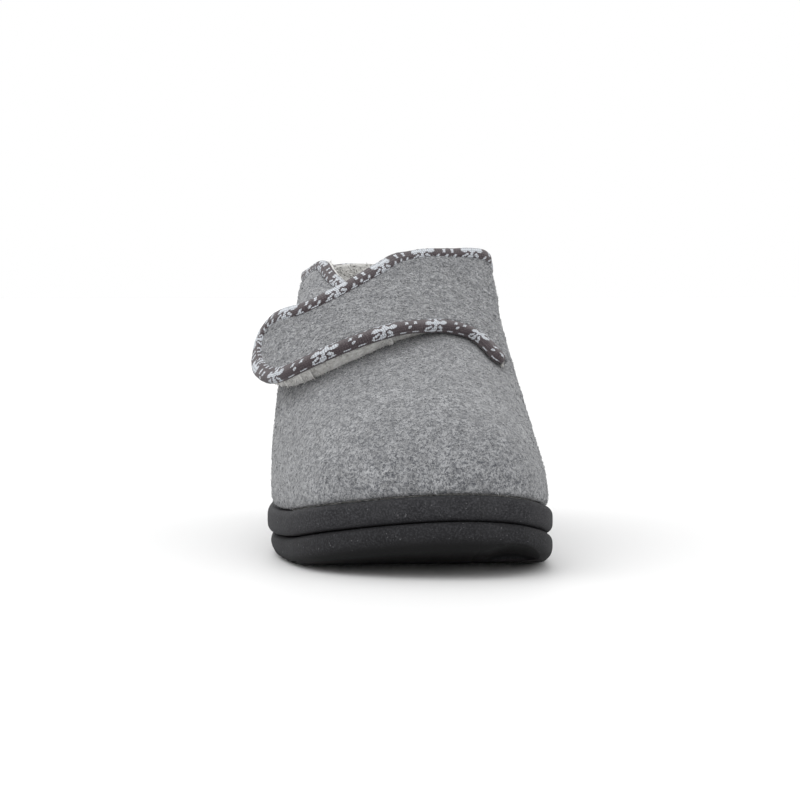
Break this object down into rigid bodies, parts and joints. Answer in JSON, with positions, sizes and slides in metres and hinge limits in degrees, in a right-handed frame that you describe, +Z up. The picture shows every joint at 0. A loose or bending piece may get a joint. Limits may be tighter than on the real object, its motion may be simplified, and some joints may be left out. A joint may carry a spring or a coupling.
{
  "type": "faux fur lined slipper",
  "caption": "Right felt bootie slipper with a wrap-over flap, snowflake knit edge binding, fleece lining and a two-band foam sole.",
  "frame": {"origin": "on the floor under the middle of the whole slipper's bounding box", "axes": "+Z up, toe towards -Y, heel towards +Y, the foot's inner side towards +X"},
  "size_m": [0.1056, 0.262, 0.1136],
  "materials": {
    "outsole": "matte foamed rubber, fine grain",
    "midsole": "matte foamed rubber, fine grain",
    "insole": "off-white pile fleece",
    "upper": "mottled grey wool-look felt",
    "wrap_flap": "mottled grey wool-look felt, fleece backed",
    "binding_flap": "dark knit tape with white snowflakes and dots",
    "binding_collar": "dark knit tape with white snowflakes and dots"
  },
  "bodies": {
    "root": {"outsole": "outsole", "midsole": "midsole", "insole": "insole", "upper": "upper", "wrap_flap": "wrap_flap", "binding_flap": "binding_flap", "binding_collar": "binding_collar"}
  },
  "joints": []
}
